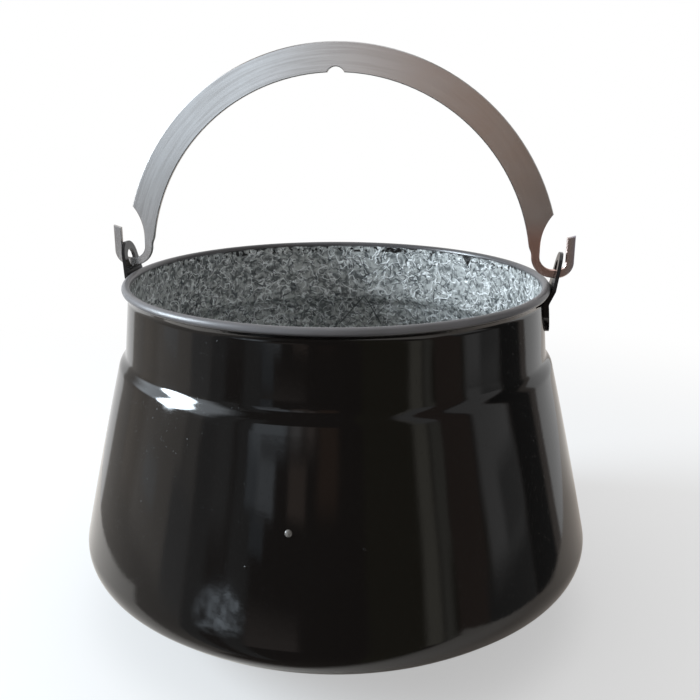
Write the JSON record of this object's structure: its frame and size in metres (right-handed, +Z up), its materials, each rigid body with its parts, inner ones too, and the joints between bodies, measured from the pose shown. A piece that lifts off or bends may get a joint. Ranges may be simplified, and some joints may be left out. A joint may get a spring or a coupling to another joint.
{
  "type": "enamel cauldron",
  "caption": "Large black enamelled cauldron with a flared wall, dished base, narrow neck and rolled rim, hung from a flat steel bail with hook ends.",
  "frame": {"origin": "centre of the flat base, on the ground", "axes": "+Z up along the kettle's axis, +X towards the right ear, so the bail swings about the X direction"},
  "size_m": [0.3412, 0.3412, 0.371],
  "materials": {
    "black_enamel": "gloss",
    "ear_enamel": "gloss",
    "bail_steel": "satin"
  },
  "bodies": {
    "kettle": {"kettle_body": "black_enamel", "left_ear": "ear_enamel", "right_ear": "ear_enamel"},
    "bail": {"bail": "bail_steel"}
  },
  "joints": [
    {"name": "bail_swing", "type": "hinge", "parent": "kettle", "child": "bail", "pos_m": [0, 0, 0.2304], "axis": [1, 0, 0], "range_deg": [-91, 91]}
  ]
}
